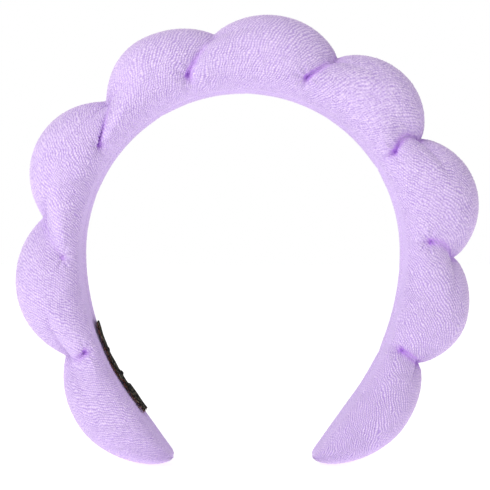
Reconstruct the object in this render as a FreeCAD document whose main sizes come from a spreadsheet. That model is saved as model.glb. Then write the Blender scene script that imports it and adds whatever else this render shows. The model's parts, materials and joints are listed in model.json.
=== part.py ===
"""Puffy spa headband: a terry cloth tube of nine foam puffs on a springy plastic hoop.

Frame: +Z up with the crown of the band on top, +X to the wearer's left, +Y towards the back.
The origin is the centre of the crown's inner semicircle, halfway through the band's depth.
All sizes are millimetres and degrees.

Every place on the band is given by three numbers: the angle of the inner face's normal from +Z
(0 at the crown, 90 where the crown semicircle ends), a run along the straight tip, and a lift
outwards from the inner face. The band is cut at eight hinge lines into nine stretches, because
the one elastic hoop of the real band bends there.
"""

import FreeCAD, Part
import math
import os

import Sketcher

DIMENSIONS = [
    # the inner face, seen from the front
    ("crown_radius", 62.0),
    ("side_radius", 95.5),
    ("tip_angle", 126.0),
    ("tip_straight", 29.8),
    ("grip_width", 17.0),
    # cloth, seam and foam
    ("cover_thickness", 2.2),
    ("seam_valley_depth", 0.8),
    ("seam_valley_width", 1.6),
    ("stitch_diameter", 0.7),
    ("stitch_pitch", 5.5),
    ("tip_stitch_length", 3.5),
    ("lobe_arc", 62.0),
    ("tuft_height", 8.0),
    ("thread_diameter", 0.8),
    # the hoop
    ("hoop_width", 12.0),
    ("hoop_thickness", 1.8),
    ("hoop_lift", 5.5),
    ("hoop_tip_margin", 9.0),
    ("hoop_tip_radius", 5.0),
    ("running_gap", 0.1),
    # room for the flex at each hinge line
    ("hinge_half_gap", 0.8),
    ("relief_angle_upper", 4.6),
    ("relief_angle_side", 4.1),
    ("relief_angle_lower", 2.9),
    ("relief_angle_tip", 1.5),
    # where the hinge lines are, and how high the band stands there
    ("angle_left_upper", 7.6),
    ("angle_left_side", 42.6),
    ("angle_left_lower", 80.7),
    ("angle_left_tip", 111.8),
    ("angle_right_upper", 26.2),
    ("angle_right_side", 58.0),
    ("angle_right_lower", 91.4),
    ("angle_right_tip", 113.3),
    ("notch_left_upper", 23.3),
    ("notch_left_side", 17.5),
    ("notch_left_lower", 17.3),
    ("notch_left_tip", 15.1),
    ("notch_right_upper", 21.4),
    ("notch_right_side", 20.1),
    ("notch_right_lower", 20.4),
    ("notch_right_tip", 15.1),
    # puff heights and depths, and the depth at the notches between them
    ("height_crown", 30.3),
    ("height_left_upper", 29.1),
    ("height_left_side", 28.9),
    ("height_left_lower", 27.2),
    ("height_left_tip", 22.6),
    ("height_right_upper", 30.3),
    ("height_right_side", 31.9),
    ("height_right_lower", 27.5),
    ("height_right_tip", 22.6),
    ("depth_crown", 40.0),
    ("depth_upper", 40.0),
    ("depth_side", 39.0),
    ("depth_lower", 36.0),
    ("depth_tip", 29.0),
    ("depth_notch", 32.0),
    ("depth_notch_tip", 26.0),
    ("depth_tip_end", 10.0),
    # the woven label inside the left tip
    ("label_top_angle", 107.1),
    ("label_fold_angle", 121.9),
    ("label_end_run", 8.3),
    ("label_width", 14.0),
    ("label_thickness", 0.5),
    ("label_stand_off", 0.4),
    ("label_flap_lift", 1.8),
    ("label_back_shift", 3.0),
    ("label_stitch_length", 2.2),
    ("label_stitch_diameter", 0.42),
    ("label_stitch_proud", 0.15),
    ("label_stitch_pitch", 3.2),
    ("label_top_row_angle", 2.5),
    ("label_fold_row_angle", 1.2),
]

SHEET = "Dimensions"
LEFT = -1
RIGHT = 1
SIDES = [("left", LEFT), ("right", RIGHT)]
ZONES = ["upper", "side", "lower", "tip"]
# Blocks that trim are this big, which is more than the whole band, and start this far below
# the inner face.
CUT_SIZE = 300.0
CUT_START = 16.0
NEAR = 0.02
# Where the cross-sections of a puff lie, as shares of its length. They crowd together at its
# ends, where the outline turns quickly into the notch.
PUFF_SHARES = [0.0, 0.06, 0.2, 0.5, 0.8, 0.94, 1.0]
# The same for the rising and the falling part of a tip.
TIP_RISE_SHARES = [0.0, 0.12, 0.4, 1.0]
TIP_FALL_SHARES = [0.3, 0.55, 0.75, 0.9, 0.975]

doc = FreeCAD.newDocument("spa_headband")
sheet = doc.addObject("Spreadsheet::Sheet", SHEET)
parts = {}


def fill_sheet():
    """Writes the driving dimensions, one per row, as a name, a plain number and its alias."""
    for row, (name, value) in enumerate(DIMENSIONS, start=1):
        sheet.set(f"A{row}", name)
        sheet.set(f"B{row}", str(value))
        sheet.setAlias(f"B{row}", name)
    doc.recompute()


def cell(name):
    """How an expression names one of the sheet's cells."""
    return f"{SHEET}.{name}"


def number(expression):
    """The present value of an expression."""
    return float(sheet.evalExpression(expression))


# ---------------------------------------------------------------- places on the band


def curve_radius(angle):
    """Expression for the radius of the inner face at an angle."""
    return f"(({angle}) <= 90 ? {cell('crown_radius')} : {cell('side_radius')})"


def curve_centre(angle):
    """Expression for how far the arc's centre lies past the mid-plane."""
    shift = f"({cell('side_radius')} - {cell('crown_radius')})"
    return f"(({angle}) <= 90 ? 0 : {shift})"


def place_x(side, angle, run="0", lift="0"):
    """Expression for X at an angle, a run along the tangent and a lift outwards."""
    reach = f"({curve_radius(angle)} + ({lift})) * sin({angle})"
    return f"{side} * ({reach} - {curve_centre(angle)} + ({run}) * cos({angle}))"


def place_z(angle, run="0", lift="0"):
    """Expression for Z at an angle, a run along the tangent and a lift outwards."""
    return f"({curve_radius(angle)} + ({lift})) * cos({angle}) - ({run}) * sin({angle})"


def place(side, angle, run="0", lift="0"):
    """Expressions for X and Z together."""
    return place_x(side, angle, run, lift), place_z(angle, run, lift)


def turned(side, angle):
    """Expression for a rotation that carries +Z to the outward normal at an angle."""
    return f"rotation(vector(0; 1; 0); {side} * ({angle}))"


def put(thing, side, angle, run="0", lift="0", depth="0", inner_turn=""):
    """Binds an object's Placement to a place on the band."""
    x, z = place(side, angle, run, lift)
    rotation = turned(side, angle) + (f" * {inner_turn}" if inner_turn else "")
    thing.setExpression("Placement", f"placement(vector({x}; {depth}; {z}); {rotation})")


# ---------------------------------------------------------------- sketches and pads


def origin_plane(body, role):
    """One of a body's own origin planes."""
    return next(f for f in body.Origin.OriginFeatures if f.Role == role)


def arc_between(start, end, centre):
    """The shorter arc from start to end about centre, and whether it runs anticlockwise."""
    first = math.atan2(start.y - centre.y, start.x - centre.x)
    second = math.atan2(end.y - centre.y, end.x - centre.x)
    turn = (second - first) % (2 * math.pi)
    circle = Part.Circle(centre, FreeCAD.Vector(0, 0, 1), (start - centre).Length)
    if turn < math.pi:
        return Part.ArcOfCircle(circle, first, first + turn), True
    return Part.ArcOfCircle(circle, second, second + 2 * math.pi - turn), False


def outline(body, name, corners, edges):
    """A closed sketch in the XZ plane whose corners are bound to expressions.

    corners holds (X, Z) expressions. edges holds None for a straight edge to the next corner,
    or ((X, Z) of the centre, radius) for an arc. Each corner is fixed by two distances, and
    each arc by its radius as well.
    """
    sketch = body.newObject("Sketcher::SketchObject", name)
    sketch.AttachmentSupport = (origin_plane(body, "XZ_Plane"), [""])
    sketch.MapMode = "FlatFace"
    points = [FreeCAD.Vector(number(x), number(z), 0) for x, z in corners]
    ends = []
    for index, edge in enumerate(edges):
        start = points[index]
        end = points[(index + 1) % len(points)]
        if edge is None:
            item = sketch.addGeometry(Part.LineSegment(start, end), False)
            ends.append((item, 1, 2))
            continue
        (centre_x, centre_z), radius = edge
        centre = FreeCAD.Vector(number(centre_x), number(centre_z), 0)
        arc, forwards = arc_between(start, end, centre)
        item = sketch.addGeometry(arc, False)
        ends.append((item, 1, 2) if forwards else (item, 2, 1))
        rule = sketch.addConstraint(Sketcher.Constraint("Radius", item, number(radius)))
        sketch.setExpression(f"Constraints[{rule}]", radius)
    for index, (x, z) in enumerate(corners):
        item, first, _ = ends[index]
        before, _, last = ends[index - 1]
        sketch.addConstraint(Sketcher.Constraint("Coincident", before, last, item, first))
        for kind, expression in (("DistanceX", x), ("DistanceY", z)):
            value = number(expression)
            rule = sketch.addConstraint(Sketcher.Constraint(kind, -1, 1, item, first, value))
            sketch.setExpression(f"Constraints[{rule}]", expression)
    return sketch


def pad(body, sketch, width):
    """Pads a sketch by a bound width, half to each side of the mid-plane."""
    feature = body.newObject("PartDesign::Pad", f"{sketch.Name}_pad")
    feature.Profile = sketch
    feature.SideType = "Symmetric"
    feature.setExpression("Length", width)
    return feature


def band_corners(lift, run):
    """Corners and edges along the band at one lift, from the right tip to the left tip."""
    angle = cell("tip_angle")
    corners = [
        place(RIGHT, angle, run, lift),
        place(RIGHT, angle, "0", lift),
        place(RIGHT, "90", "0", lift),
        place(RIGHT, "0", "0", lift),
        place(LEFT, "90", "0", lift),
        place(LEFT, angle, "0", lift),
        place(LEFT, angle, run, lift),
    ]
    shift = f"({cell('side_radius')} - {cell('crown_radius')})"
    crown = (("0", "0"), f"{cell('crown_radius')} + ({lift})")
    side_radius = f"{cell('side_radius')} + ({lift})"
    right = ((f"-{shift}", "0"), side_radius)
    left = ((shift, "0"), side_radius)
    return corners, [None, right, crown, crown, left, None]


def inside_of_band(name, lift, width):
    """A body that fills the space inside the band, grown by a lift: it cuts the inner face."""
    body = doc.addObject("PartDesign::Body", name)
    past_tip = f"{cell('tip_straight')} + 8"
    corners, edges = band_corners(lift, past_tip)
    pad(body, outline(body, f"{name}_outline", corners, edges + [None]), width)
    return body


def hoop_room():
    """The slot that the hoop lies in, a running gap wider than the hoop all round."""
    body = doc.addObject("PartDesign::Body", "hoop_room")
    gap = cell("running_gap")
    half = f"({cell('hoop_thickness')} / 2 + {gap})"
    run = f"{cell('tip_straight')} - {cell('hoop_tip_margin')} + {gap}"
    outer, outer_edges = band_corners(f"{cell('hoop_lift')} + {half}", run)
    inner, inner_edges = band_corners(f"{cell('hoop_lift')} - {half}", run)
    corners = outer + inner[::-1]
    edges = outer_edges + [None] + inner_edges[::-1] + [None]
    pad(body, outline(body, "hoop_room_outline", corners, edges), f"{cell('hoop_width')} + 2 * {gap}")
    return body


# ---------------------------------------------------------------- puffs


def value_set(name, values):
    """A set of named numbers bound to expressions, which the cross-sections read."""
    holder = doc.addObject("App::VarSet", name)
    for key, expression in values.items():
        holder.addProperty("App::PropertyFloat", key, "Section")
        holder.setExpression(key, expression)
    return holder


def puff_swell(share):
    """How much of the puff's swelling is reached at a share of its length: a circular arc."""
    arc = cell("lobe_arc")
    across = f"({2 * share - 1:g} * sin({arc}))"
    return f"((sqrt(1 - {across} ^ 2) - cos({arc})) / (1 - cos({arc})))"


def mix(first, second, share):
    """Expression for a value part of the way from first to second."""
    return f"(({first}) + (({second}) - ({first})) * ({share:g}))"


def puff_sections(name, ends, heights, depths, peak, depth):
    """Section values for a puff that lies between two hinge lines."""
    sections = []
    for index, share in enumerate(PUFF_SHARES):
        swell = puff_swell(share)
        low = mix(heights[0], heights[1], share)
        thin = mix(depths[0], depths[1], share)
        values = {
            "angle": mix(ends[0], ends[1], share),
            "run": "0",
            "height": f"{low} + ({peak} - {low}) * {swell}",
            "depth": f"{thin} + ({depth} - {thin}) * {swell}",
        }
        sections.append(value_set(f"section_{name}_{index}", values))
    return sections


def tip_sections(name, side_name):
    """Section values for a tip: up from the notch like a puff, then down like an ellipse."""
    start = cell(f"angle_{side_name}_tip")
    notch = cell(f"notch_{side_name}_tip")
    peak = cell(f"height_{side_name}_tip")
    thin = cell("depth_notch_tip")
    depth = cell("depth_tip")
    sections = []
    for index, share in enumerate(TIP_RISE_SHARES):
        swell = puff_swell(share / 2)
        values = {
            "angle": mix(start, cell("tip_angle"), share),
            "run": "0",
            "height": f"{notch} + ({peak} - {notch}) * {swell}",
            "depth": f"{thin} + ({depth} - {thin}) * {swell}",
        }
        sections.append(value_set(f"section_{name}_rise_{index}", values))
    for index, share in enumerate(TIP_FALL_SHARES):
        fall = f"sqrt(1 - {share:g} ^ 2)"
        end = cell("depth_tip_end")
        values = {
            "angle": cell("tip_angle"),
            "run": f"{cell('tip_straight')} * {share:g}",
            "height": f"{peak} * {fall}",
            "depth": f"{end} + ({depth} - {end}) * {fall}",
        }
        sections.append(value_set(f"section_{name}_fall_{index}", values))
    return sections


def puff_blank(name, side, sections, inset):
    """A loft through ovals that pass below the inner face, so that it can be cut to a flat grip.

    Each oval is wide enough at the inner face for the grip's width, or for half the section's
    depth where the band is narrower than that.
    """
    ovals = []
    for index, section in enumerate(sections):
        data = section.Name
        share = f"min({cell('grip_width')} / {data}.depth; 0.5)"
        dip = f"(1 - sqrt(1 - {share} ^ 2))"
        radial = f"({data}.height / (2 - {dip}))"
        oval = doc.addObject("Part::Ellipse", f"{name}_oval_{index}")
        oval.MajorRadius = CUT_SIZE
        oval.setExpression("MinorRadius", f"{radial} - ({inset})")
        oval.setExpression("MajorRadius", f"{data}.depth / 2 - ({inset})")
        lift = f"{data}.height - {radial}"
        to_section = "rotation(vector(1; 1; 1); 120)"
        put(oval, side, f"{data}.angle", f"{data}.run", lift, "0", to_section)
        ovals.append(oval)
    loft = doc.addObject("Part::Loft", f"{name}_loft")
    loft.Sections = ovals
    loft.Solid = True
    return loft


def end_block(name, side, line, towards_tip):
    """A block that trims a stretch at a hinge line, leaning back to leave room for the flex.

    towards_tip says that the block lies on the tip's side of the line.
    """
    zone = line.split("_")[-1]
    angle = cell(f"angle_{line}")
    way = 1 if towards_tip else -1
    block = doc.addObject("Part::Box", name)
    block.Length = block.Width = block.Height = CUT_SIZE
    x, z = place(side, angle, f"{-way} * {cell('hinge_half_gap')}", cell("hoop_lift"))
    lean = f"({angle}) - {way} * {cell(f'relief_angle_{zone}')}"
    corner_x = -CUT_SIZE if side * way < 0 else 0
    corner = f"vector({corner_x}; {-CUT_SIZE / 2}; {-CUT_START})"
    hinge = f"placement(vector({x}; 0; {z}); {turned(side, lean)})"
    block.setExpression("Placement", f"{hinge} * placement({corner}; rotation(vector(0; 0; 1); 0))")
    return block


def cut(name, base, tools):
    """Base less every tool, one cut after another, or base alone if there are none."""
    for index, tool in enumerate(tools):
        step = doc.addObject("Part::Cut", f"{name}_cut_{index}")
        step.Base = base
        step.Tool = tool
        base = step
    return base


def keep(name, thing):
    """Names a finished sub-part. The Label is the name of its file."""
    thing.Label = name
    parts[name] = thing


def build_puff(name, side, sections, end_blocks, rooms):
    """The foam puff and the stretch of terry cover round it."""
    outer = puff_blank(f"cover_{name}", side, sections, "0")
    inner = puff_blank(f"foam_{name}", side, sections, cell("cover_thickness"))
    core = cut(f"core_{name}", inner, end_blocks + [rooms["cloth"]])
    keep(f"foam_{name}", cut(f"foam_{name}", core, [rooms["hoop"]]))
    tools = end_blocks + [rooms["head"], rooms["seam"], core]
    keep(f"cover_{name}", cut(f"cover_{name}", outer, tools))


# ---------------------------------------------------------------- hoop


def flat_end(side, angle):
    """A strip's flat end: a running gap short of the next strip's round end."""
    back = f"-({cell('hoop_thickness')} / 2 + {cell('running_gap')})"
    half = f"{cell('hoop_thickness')} / 2"
    outer = place(side, angle, back, f"{cell('hoop_lift')} + {half}")
    inner = place(side, angle, back, f"{cell('hoop_lift')} - {half}")
    return outer, inner


def round_end(side, angle):
    """A strip's round end, centred on the hinge line: its three corners and its arc."""
    half = f"{cell('hoop_thickness')} / 2"
    centre = place(side, angle, "0", cell("hoop_lift"))
    outer = place(side, angle, "0", f"{cell('hoop_lift')} + {half}")
    middle = place(side, angle, f"-{half}", cell("hoop_lift"))
    inner = place(side, angle, "0", f"{cell('hoop_lift')} - {half}")
    return inner, middle, outer, (centre, half)


def strip_arc(side, angle, lift):
    """Centre and radius of the hoop's faces where the band has a given angle."""
    return (f"-1 * {side} * {curve_centre(angle)}", "0"), f"{curve_radius(angle)} + {lift}"


def hoop_stations(start, end, is_tip):
    """Places along a strip after its round end, each with its angle, its run and whether the
    strip is straight up to there."""
    if is_tip:
        run = f"{cell('tip_straight')} - {cell('hoop_tip_margin')}"
        return [(cell("tip_angle"), "0", False), (cell("tip_angle"), run, True)]
    back = f"-({cell('hoop_thickness')} / 2 + {cell('running_gap')})"
    where_curve_changes = [("90", "0", False)] if number(start) < 90 < number(end) else []
    return where_curve_changes + [(end, back, False)]


def build_hoop(name, side, start, end, is_tip):
    """One stretch of the hoop on a leg, as a pad of its edge outline."""
    half = f"{cell('hoop_thickness')} / 2"
    inner_start, middle, outer_start, bead = round_end(side, start)
    corners = [inner_start, middle, outer_start]
    edges = [bead, bead]
    stations = hoop_stations(start, end, is_tip)
    for sign, order in (("+", 1), ("-", -1)):
        lift = f"({cell('hoop_lift')} {sign} {half})"
        face = [place(side, angle, run, lift) for angle, run, _ in stations]
        arcs = [None if straight else strip_arc(side, angle, lift) for angle, _, straight in stations]
        corners += face[::order]
        edges += ([] if sign == "+" else [None]) + arcs[::order]
    body = doc.addObject("PartDesign::Body", f"hoop_{name}")
    strip = pad(body, outline(body, f"hoop_{name}_outline", corners, edges), cell("hoop_width"))
    if is_tip:
        round_tip(body, strip, side)
    keep(f"hoop_{name}", body)


def build_crown_hoop(left, right):
    """The crown's stretch of the hoop, whose two ends are both flat."""
    half = f"{cell('hoop_thickness')} / 2"
    top = f"({cell('hoop_lift')} + {half})"
    bottom = f"({cell('hoop_lift')} - {half})"
    left_outer, left_inner = flat_end(LEFT, left)
    right_outer, right_inner = flat_end(RIGHT, right)
    corners = [left_inner, left_outer, right_outer, right_inner]
    edges = [None, strip_arc(RIGHT, "0", top), None, strip_arc(RIGHT, "0", bottom)]
    body = doc.addObject("PartDesign::Body", "hoop_crown")
    pad(body, outline(body, "hoop_crown_outline", corners, edges), cell("hoop_width"))
    keep("hoop_crown", body)


def round_tip(body, strip, side):
    """Rounds the two corners of a strip's tip, seen from inside the band."""
    doc.recompute()
    run = f"{cell('tip_straight')} - {cell('hoop_tip_margin')}"
    x, z = place(side, cell("tip_angle"), run, cell("hoop_lift"))
    half_width = number(cell("hoop_width")) / 2
    corners = [FreeCAD.Vector(number(x), y, number(z)) for y in (-half_width, half_width)]
    names = []
    for index, edge in enumerate(strip.Shape.Edges, start=1):
        if any((edge.CenterOfMass - corner).Length < NEAR for corner in corners):
            names.append(f"Edge{index}")
    fillet = body.newObject("PartDesign::Fillet", f"{body.Name}_tip_rounding")
    fillet.Base = (strip, names)
    fillet.setExpression("Radius", cell("hoop_tip_radius"))


# ---------------------------------------------------------------- threads


def rod(name, length, diameter):
    """A short thread as a cylinder whose length and diameter are bound."""
    thread = doc.addObject("Part::Cylinder", name)
    thread.setExpression("Radius", f"({diameter}) / 2")
    thread.setExpression("Height", length)
    return thread


def group(name, threads):
    """Separate solids of one kind, kept together as one sub-part."""
    bundle = doc.addObject("Part::Compound", f"{name}_group")
    bundle.Links = threads
    keep(name, bundle)


def crosswise_rod(name, side, angle, run, lift, length):
    """A thread that lies along Y, centred on the mid-plane."""
    thread = rod(name, length, cell("stitch_diameter"))
    lay_down = "rotation(vector(1; 0; 0); -90)"
    put(thread, side, angle, run, lift, f"-({length}) / 2", lay_down)
    return thread


def build_seam(name, side, start, end, straight):
    """The closing stitches that lie in the valley along the inner face.

    start and end are angles. straight says that the stitches carry on along the tip.
    """
    lift = f"{cell('seam_valley_depth')} - {cell('stitch_diameter')} / 2"
    length = f"{cell('seam_valley_width')} - {cell('running_gap')}"
    gap = f"2 * {cell('hinge_half_gap')}"
    pitch = number(cell("stitch_pitch"))
    places = []
    arc = number(f"(({end}) - ({start})) * pi / 180 * {curve_radius(end)}")
    count = round(arc / pitch)
    for index in range(count):
        places.append((mix(start, end, (index + 0.5) / count), "0"))
    if straight:
        run_length = f"({cell('tip_straight')} - {gap})"
        count = round(number(run_length) / pitch)
        for index in range(count):
            places.append((end, f"{run_length} * {(index + 0.5) / count:g}"))
    threads = []
    for index, (angle, run) in enumerate(places):
        rod_name = f"seam_{name}_stitch_{index}"
        threads.append(crosswise_rod(rod_name, side, angle, run, lift, length))
    group(f"seam_stitches_{name}", threads)


def build_tuft_loop(line, side):
    """The thread loop that draws the cover into a notch.

    It runs through the band at tuft height and over the notch, and lies against the trimmed
    end of the stretch that holds it.
    """
    zone = line.split("_")[-1]
    notch = cell(f"notch_{line}")
    depth = cell("depth_notch_tip" if zone == "tip" else "depth_notch")
    lean = f"{cell(f'angle_{line}')} - {cell(f'relief_angle_{zone}')}"
    back = f"{cell('thread_diameter')} / 2 - {cell('hinge_half_gap')}"
    x, z = place(side, cell(f"angle_{line}"), back, cell("hoop_lift"))
    top = f"({notch} + {cell('thread_diameter')} - {cell('hoop_lift')})"
    bottom = f"({cell('tuft_height')} - {cell('hoop_lift')})"
    to_section = "rotation(vector(1; 1; 1); 120)"
    hinge = f"placement(vector({x}; 0; {z}); {turned(side, lean)})"
    path = doc.addObject("Part::Ellipse", f"tuft_path_{line}")
    path.MajorRadius = CUT_SIZE
    path.setExpression("MinorRadius", f"({top} - {bottom}) / 2")
    path.setExpression("MajorRadius", f"{depth} / 2")
    centre = f"placement(vector(0; 0; ({top} + {bottom}) / 2); {to_section})"
    path.setExpression("Placement", f"{hinge} * {centre}")
    profile = doc.addObject("Part::Circle", f"tuft_profile_{line}")
    profile.setExpression("Radius", f"{cell('thread_diameter')} / 2")
    start = f"placement(vector({depth} / 2; 0; 0); rotation(vector(1; 0; 0); 90))"
    profile.setExpression("Placement", f"{path.Name}.Placement * {start}")
    loop = doc.addObject("Part::Sweep", f"tuft_sweep_{line}")
    loop.Sections = [profile]
    loop.Spine = (path, ["Edge1"])
    loop.Solid = True
    keep(f"tuft_loop_{line}", loop)


def build_tip_closure(side_name, side):
    """Three whip stitches over the closed end of the cover."""
    threads = []
    for index, share in enumerate((0.3, 0.5, 0.7)):
        end = TIP_FALL_SHARES[-1]
        height = f"{cell(f'height_{side_name}_tip')} * sqrt(1 - {end} ^ 2)"
        run = f"{cell('tip_straight')} * {end} + {cell('stitch_diameter')} / 2 + {NEAR}"
        name = f"tip_closure_{side_name}_stitch_{index}"
        lift = f"({height}) * {share}"
        length = cell("tip_stitch_length")
        threads.append(crosswise_rod(name, side, cell("tip_angle"), run, lift, length))
    group(f"tip_closure_stitches_{side_name}", threads)


# ---------------------------------------------------------------- label


def build_label():
    """The woven label on the inner face of the left tip, its loose flap and its stitches."""
    near = f"-{cell('label_stand_off')}"
    far = f"-({cell('label_stand_off')} + {cell('label_thickness')})"
    middle = f"-({cell('label_stand_off')} + {cell('label_thickness')} / 2)"
    half = f"{cell('label_thickness')} / 2"
    top_angle = cell("label_top_angle")
    fold = cell("label_fold_angle")
    backward = cell("label_back_shift")
    back = f"-({half} + {cell('running_gap')})"
    near_arc = strip_arc(LEFT, fold, near)
    far_arc = strip_arc(LEFT, fold, far)
    corners = [
        place(LEFT, top_angle, "0", near),
        place(LEFT, fold, back, near),
        place(LEFT, fold, back, far),
        place(LEFT, top_angle, "0", far),
    ]
    body = doc.addObject("PartDesign::Body", "label_sewn")
    sketch = outline(body, "label_sewn_outline", corners, [near_arc, None, far_arc, None])
    pad(body, sketch, cell("label_width"))
    body.setExpression("Placement.Base.y", backward)
    keep("label_sewn", body)

    end_angle = cell("tip_angle")
    end_run = cell("label_end_run")
    end_lift = f"{middle} - {cell('label_flap_lift')}"
    bead = (place(LEFT, fold, "0", middle), half)
    corners = [
        place(LEFT, fold, "0", far),
        place(LEFT, fold, f"-{half}", middle),
        place(LEFT, fold, "0", near),
        place(LEFT, end_angle, end_run, f"{end_lift} + {half}"),
        place(LEFT, end_angle, end_run, f"{end_lift} - {half}"),
    ]
    body = doc.addObject("PartDesign::Body", "label_flap")
    sketch = outline(body, "label_flap_outline", corners, [bead, bead, None, None, None])
    pad(body, sketch, cell("label_width"))
    body.setExpression("Placement.Base.y", backward)
    keep("label_flap", body)

    rows = [
        f"{cell('angle_left_tip')} + {cell('label_top_row_angle')}",
        f"{fold} - {cell('label_fold_row_angle')}",
    ]
    threads = []
    for row, angle in enumerate(rows):
        for column, share in enumerate((-1.5, -0.5, 0.5, 1.5)):
            depth = f"{cell('label_stitch_pitch')} * {share} + {backward}"
            diameter = cell("label_stitch_diameter")
            thread = rod(f"label_stitch_{row}_{column}", cell("label_stitch_length"), diameter)
            put(thread, LEFT, angle, "0", f"{far} - {cell('label_stitch_proud')}", depth)
            threads.append(thread)
    group("label_stitches", threads)


# ---------------------------------------------------------------- assembly


def build_band():
    """Every stretch of the band, from the crown to both tips."""
    rooms = {
        "head": inside_of_band("head_room", "0", "120"),
        "seam": inside_of_band("seam_room", cell("seam_valley_depth"), cell("seam_valley_width")),
        "cloth": inside_of_band("cloth_room", cell("cover_thickness"), "120"),
        "hoop": hoop_room(),
    }
    left = f"-1 * {cell('angle_left_upper')}"
    right = cell("angle_right_upper")
    ends = (left, right)
    notches = (cell("notch_left_upper"), cell("notch_right_upper"))
    thin = (cell("depth_notch"), cell("depth_notch"))
    sections = puff_sections("crown", ends, notches, thin, cell("height_crown"), cell("depth_crown"))
    blocks = [
        end_block("crown_left_end", LEFT, "left_upper", True),
        end_block("crown_right_end", RIGHT, "right_upper", True),
    ]
    build_puff("crown", RIGHT, sections, blocks, rooms)
    build_crown_hoop(cell("angle_left_upper"), right)
    build_seam("crown", RIGHT, left, right, False)
    for side_name, side in SIDES:
        build_leg(side_name, side, rooms)
    build_label()


def build_leg(side_name, side, rooms):
    """The four stretches of one leg, from the crown down."""
    for index, zone in enumerate(ZONES):
        name = f"{side_name}_{zone}"
        start = cell(f"angle_{name}")
        is_tip = zone == "tip"
        blocks = [end_block(f"{name}_start", side, name, False)]
        end = cell("tip_angle")
        if is_tip:
            sections = tip_sections(name, side_name)
        else:
            following = f"{side_name}_{ZONES[index + 1]}"
            end = cell(f"angle_{following}")
            blocks.append(end_block(f"{name}_end", side, following, True))
            thin_end = cell("depth_notch_tip" if zone == "lower" else "depth_notch")
            heights = (cell(f"notch_{name}"), cell(f"notch_{following}"))
            depths = (cell("depth_notch"), thin_end)
            peak = cell(f"height_{name}")
            sections = puff_sections(name, (start, end), heights, depths, peak, cell(f"depth_{zone}"))
        build_puff(name, side, sections, blocks, rooms)
        build_hoop(name, side, start, end, is_tip)
        build_seam(name, side, start, end, is_tip)
        build_tuft_loop(name, side)
    build_tip_closure(side_name, side)


def check_and_export():
    """Stops if any object failed, then writes one STEP file per sub-part."""
    doc.recompute()
    failed = [o.Label for o in doc.Objects if "Invalid" in o.State or "Error" in o.State]
    if failed:
        raise RuntimeError(f"these objects failed: {failed}")
    os.makedirs("parts", exist_ok=True)
    for name, thing in sorted(parts.items()):
        shape = thing.Shape
        if shape.isNull() or not shape.isValid() or not shape.Solids:
            raise RuntimeError(f"{name} has no valid solid")
        shape.exportStep(f"parts/{name}.step")
        print(f"{name}: {len(shape.Solids)} solids, {shape.Volume:.0f} mm3")


fill_sheet()
build_band()
check_and_export()
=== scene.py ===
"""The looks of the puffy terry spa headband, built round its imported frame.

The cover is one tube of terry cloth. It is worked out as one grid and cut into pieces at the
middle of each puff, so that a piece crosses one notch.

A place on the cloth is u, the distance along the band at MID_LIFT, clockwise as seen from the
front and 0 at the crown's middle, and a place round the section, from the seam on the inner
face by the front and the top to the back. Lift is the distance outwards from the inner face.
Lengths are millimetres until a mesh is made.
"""

import json
import math

import bpy
import numpy as np
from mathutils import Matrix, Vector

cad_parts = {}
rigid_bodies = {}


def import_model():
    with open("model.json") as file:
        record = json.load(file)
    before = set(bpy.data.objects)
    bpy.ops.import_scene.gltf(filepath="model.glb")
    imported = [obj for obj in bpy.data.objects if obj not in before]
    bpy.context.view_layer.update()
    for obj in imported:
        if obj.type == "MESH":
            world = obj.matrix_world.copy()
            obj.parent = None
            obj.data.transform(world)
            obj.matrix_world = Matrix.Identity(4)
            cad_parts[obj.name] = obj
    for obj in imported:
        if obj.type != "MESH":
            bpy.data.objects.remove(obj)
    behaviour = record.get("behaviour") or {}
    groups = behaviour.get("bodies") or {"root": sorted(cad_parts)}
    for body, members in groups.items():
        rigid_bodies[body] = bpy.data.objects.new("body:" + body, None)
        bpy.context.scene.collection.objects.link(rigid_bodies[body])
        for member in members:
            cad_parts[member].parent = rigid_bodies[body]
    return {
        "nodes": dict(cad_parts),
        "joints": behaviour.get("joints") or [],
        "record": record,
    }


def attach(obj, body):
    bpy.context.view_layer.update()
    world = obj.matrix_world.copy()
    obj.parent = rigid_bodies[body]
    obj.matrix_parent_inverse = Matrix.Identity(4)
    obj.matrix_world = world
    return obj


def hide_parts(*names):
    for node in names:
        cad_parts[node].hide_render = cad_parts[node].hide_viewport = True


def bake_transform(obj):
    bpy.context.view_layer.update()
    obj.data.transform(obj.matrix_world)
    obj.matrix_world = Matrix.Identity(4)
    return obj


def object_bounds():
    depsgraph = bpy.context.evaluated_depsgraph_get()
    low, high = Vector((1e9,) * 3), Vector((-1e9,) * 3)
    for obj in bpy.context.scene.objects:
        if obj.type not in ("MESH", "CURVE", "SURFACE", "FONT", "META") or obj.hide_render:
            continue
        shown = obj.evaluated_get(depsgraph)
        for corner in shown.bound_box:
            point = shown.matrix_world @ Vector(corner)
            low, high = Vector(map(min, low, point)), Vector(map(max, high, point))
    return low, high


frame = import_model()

CAD_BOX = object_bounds()
MM = 0.001

# --- the band's line

GRIP = next(m for m in frame["record"]["mounts"] if m["name"] == "head_grip")
# The inner face's line, as in the CAD model: an arc over the crown, a wider arc down each side
# and a straight tip.
CROWN_RADIUS = GRIP["dims"]["r_mm"]
SIDE_RADIUS = 95.5
TIP_ANGLE = math.radians(126.0)
TIP_LENGTH = 29.8
MID_LIFT = 12.0
SHIFT = SIDE_RADIUS - CROWN_RADIUS
CROWN_LENGTH = (CROWN_RADIUS + MID_LIFT) * math.pi / 2
SIDE_LENGTH = (SIDE_RADIUS + MID_LIFT) * (TIP_ANGLE - math.pi / 2)
TIP_START = CROWN_LENGTH + SIDE_LENGTH


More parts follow.
